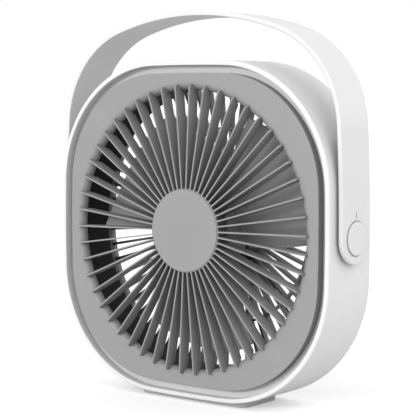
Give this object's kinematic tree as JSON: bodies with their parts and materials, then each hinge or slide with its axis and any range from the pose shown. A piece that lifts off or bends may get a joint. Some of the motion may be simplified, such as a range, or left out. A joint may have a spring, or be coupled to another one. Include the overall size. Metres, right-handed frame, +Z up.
{
  "type": "desk fan",
  "caption": "Small square desk fan with rounded sides, a ribbed round grille, an inner impeller and motor, and a swinging carry handle that doubles as a stand.",
  "frame": {"origin": "on the table under the middle of the foot, straight below the handle's pivot axis", "axes": "+Z up, +Y from the front grille to the back, +X to the right seen from the front; the fan turns about Y and the handle swings about X"},
  "size_m": [0.1678, 0.038, 0.1846],
  "materials": {
    "shell_white": "satin moulded",
    "handle_white": "satin moulded",
    "cap_white": "satin moulded",
    "grille_grey": "fine matt texture",
    "rear_grey": "fine matt texture",
    "duct_dark": "matt",
    "blade_grey": "satin moulded",
    "foot_rubber": "matt",
    "washer_plastic": "waxy",
    "steel": "plated sheet",
    "screw_steel": "zinc plated",
    "shaft_steel": "ground",
    "core_steel": "stacked laminations",
    "magnet": "sintered ferrite",
    "copper": "enamelled copper",
    "board_green": "solder mask",
    "cell_wrap": "shrink wrap",
    "tray_plastic": "matt",
    "switch_black": "matt",
    "button_grey": "satin moulded",
    "lens_clear": "frosted light pipe",
    "port_steel": "plated sheet",
    "wire_black": "PVC sheath"
  },
  "bodies": {
    "housing": {"front_grille": "grille_grey", "body_shell": "shell_white", "rear_shell": "shell_white", "duct_ring": "duct_dark", "rear_grille": "rear_grey", "hub_cover": "shell_white", "foot_pad": "foot_rubber", "pivot_caps": "cap_white", "friction_washers": "washer_plastic", "pivot_washers": "steel", "pivot_screws": "screw_steel", "bearings": "shaft_steel", "stator_core": "core_steel", "stator_coils": "copper", "motor_board": "board_green", "battery_pack": "cell_wrap", "battery_tray": "tray_plastic", "circuit_board": "board_green", "tact_switch": "switch_black", "light_pipe": "lens_clear", "usb_port": "port_steel", "motor_leads": "wire_black", "battery_leads": "wire_black", "grille_screws": "screw_steel", "shell_screws": "screw_steel", "board_screws": "screw_steel"},
    "rotor": {"impeller": "blade_grey", "rotor_can": "steel", "magnet_ring": "magnet", "shaft": "shaft_steel", "shaft_clip": "steel"},
    "handle": {"handle": "handle_white"},
    "button": {"power_button": "button_grey"}
  },
  "joints": [
    {"name": "handle_swing", "type": "hinge", "parent": "housing", "child": "handle", "pos_m": [0, 0, 0.0816], "axis": [1, 0, 0], "range_deg": [-135, 135]},
    {"name": "impeller_spin", "type": "hinge", "parent": "housing", "child": "rotor", "pos_m": [0, 0, 0.0816], "axis": [0, 1, 0], "continuous": true},
    {"name": "power_press", "type": "slide", "parent": "housing", "child": "button", "axis": [0, -1, 0], "range_m": [0, 0.00035], "stiffness_N_per_m": 600}
  ]
}
